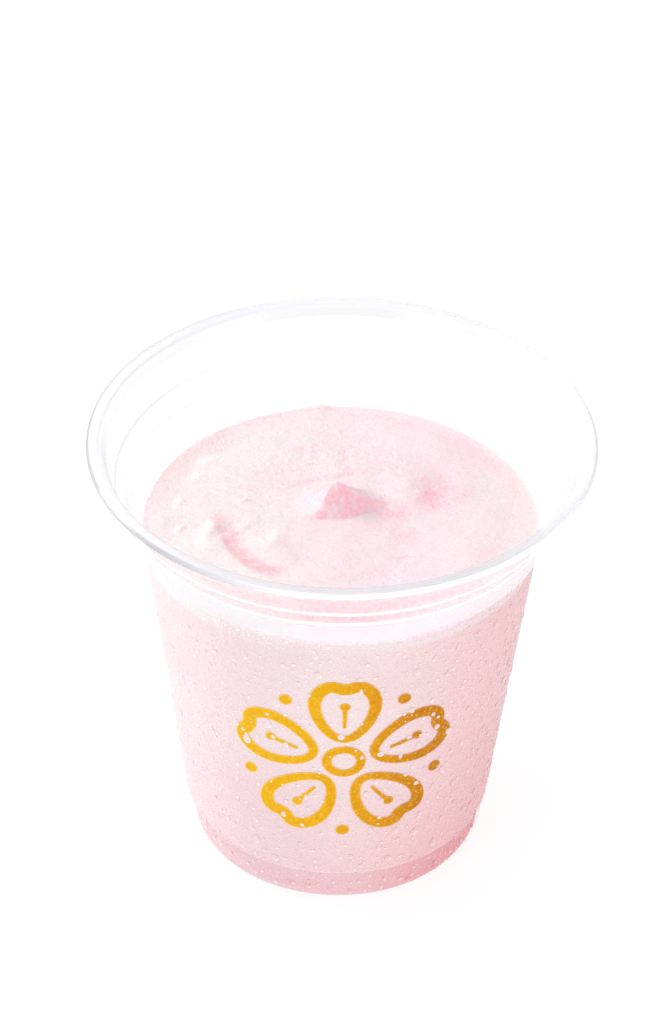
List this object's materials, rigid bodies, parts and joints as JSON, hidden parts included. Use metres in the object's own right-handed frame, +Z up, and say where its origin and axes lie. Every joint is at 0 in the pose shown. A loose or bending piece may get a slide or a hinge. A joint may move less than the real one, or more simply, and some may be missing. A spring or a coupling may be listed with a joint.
{
  "type": "milkshake in a clear plastic cup",
  "caption": "Pink milkshake with a swirled, peaked top in a squat clear plastic takeaway cup with a rolled rim, a flared neck with fine beads and a stepped foot.",
  "frame": {"origin": "centre of the underside, at the plane the cup stands on", "axes": "+Z up along the cup's axis; -Y is the front, where the print is"},
  "size_m": [0.098, 0.098, 0.0931],
  "materials": {
    "cup": "clear formed plastic, glossy, with fine condensation on the tapered body below the ledge and one plain gold print on the front",
    "milkshake": "thick pale pink shake, soft and slightly icy, moist sheen"
  },
  "bodies": {
    "root": {"cup": "cup", "milkshake": "milkshake"}
  },
  "joints": []
}
